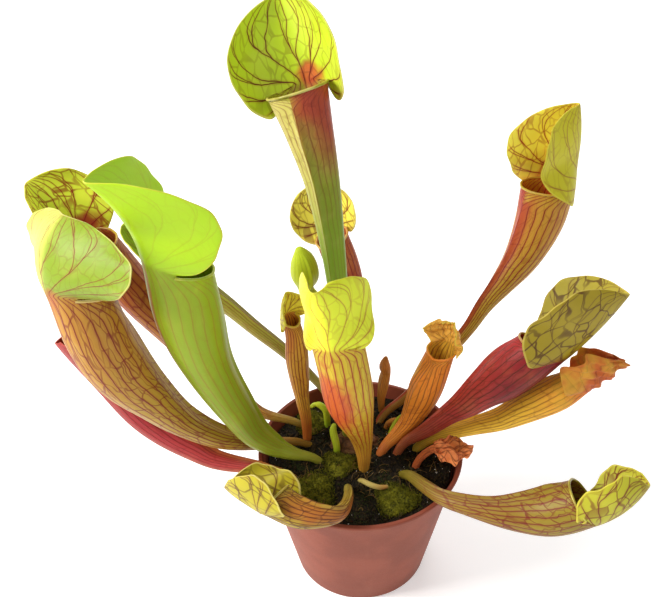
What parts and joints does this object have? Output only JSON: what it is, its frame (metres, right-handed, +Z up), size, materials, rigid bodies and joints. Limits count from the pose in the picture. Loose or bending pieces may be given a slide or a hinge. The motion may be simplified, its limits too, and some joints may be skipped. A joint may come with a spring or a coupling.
{
  "type": "potted pitcher plant",
  "caption": "Trumpet pitcher plant with upright hooded leaves, buds and withered leaves, growing from mossy peat in a round tapered plastic nursery pot.",
  "frame": {"origin": "centre of the underside of the pot's base", "axes": "+Z up along the pot's axis, -Y towards the front, where the pitcher seen from its back stands, +X to the right"},
  "size_m": [0.3288, 0.2006, 0.3382],
  "materials": {
    "pot_plastic": "matte moulded plastic",
    "peat": "crumbly, dark and damp",
    "moss": "soft, matte",
    "crown": "rough, brown",
    "leaf_lime": "smooth, waxy",
    "leaf_tan": "smooth, waxy, with red veins",
    "leaf_crimson": "smooth, waxy",
    "leaf_red": "smooth, waxy, with red veins",
    "leaf_olive": "smooth, waxy",
    "leaf_orange": "drying, satin",
    "leaf_withered": "dry, papery, brown",
    "leaf_pale": "smooth, pale"
  },
  "bodies": {
    "root": {"pot": "pot_plastic", "soil": "peat", "rhizome": "crown", "moss_left_back": "moss", "moss_left_front": "moss", "moss_centre": "moss", "moss_right_front": "moss", "pitcher_tall_back": "leaf_lime", "pitcher_green_left": "leaf_lime", "pitcher_veined_left": "leaf_tan", "pitcher_red_left_back": "leaf_red", "pitcher_olive_left_back": "leaf_olive", "pitcher_pink_left_low": "leaf_crimson", "pitcher_front_centre": "leaf_lime", "pitcher_front_left_drape": "leaf_tan", "pitcher_right_back": "leaf_tan", "pitcher_crimson_right": "leaf_crimson", "pitcher_orange_right": "leaf_orange", "pitcher_right_front": "leaf_tan", "pitcher_orange_centre_right": "leaf_orange", "pitcher_dark_back": "leaf_red", "pitcher_small_left_centre": "leaf_orange", "bud_green": "leaf_lime", "bud_orange": "leaf_orange", "shoot_hooked_back": "leaf_lime", "shoot_hooked_front": "leaf_lime", "blade_green": "leaf_lime", "stub_orange": "leaf_orange", "stub_curled": "leaf_pale", "leaf_withered": "leaf_withered"}
  },
  "joints": []
}
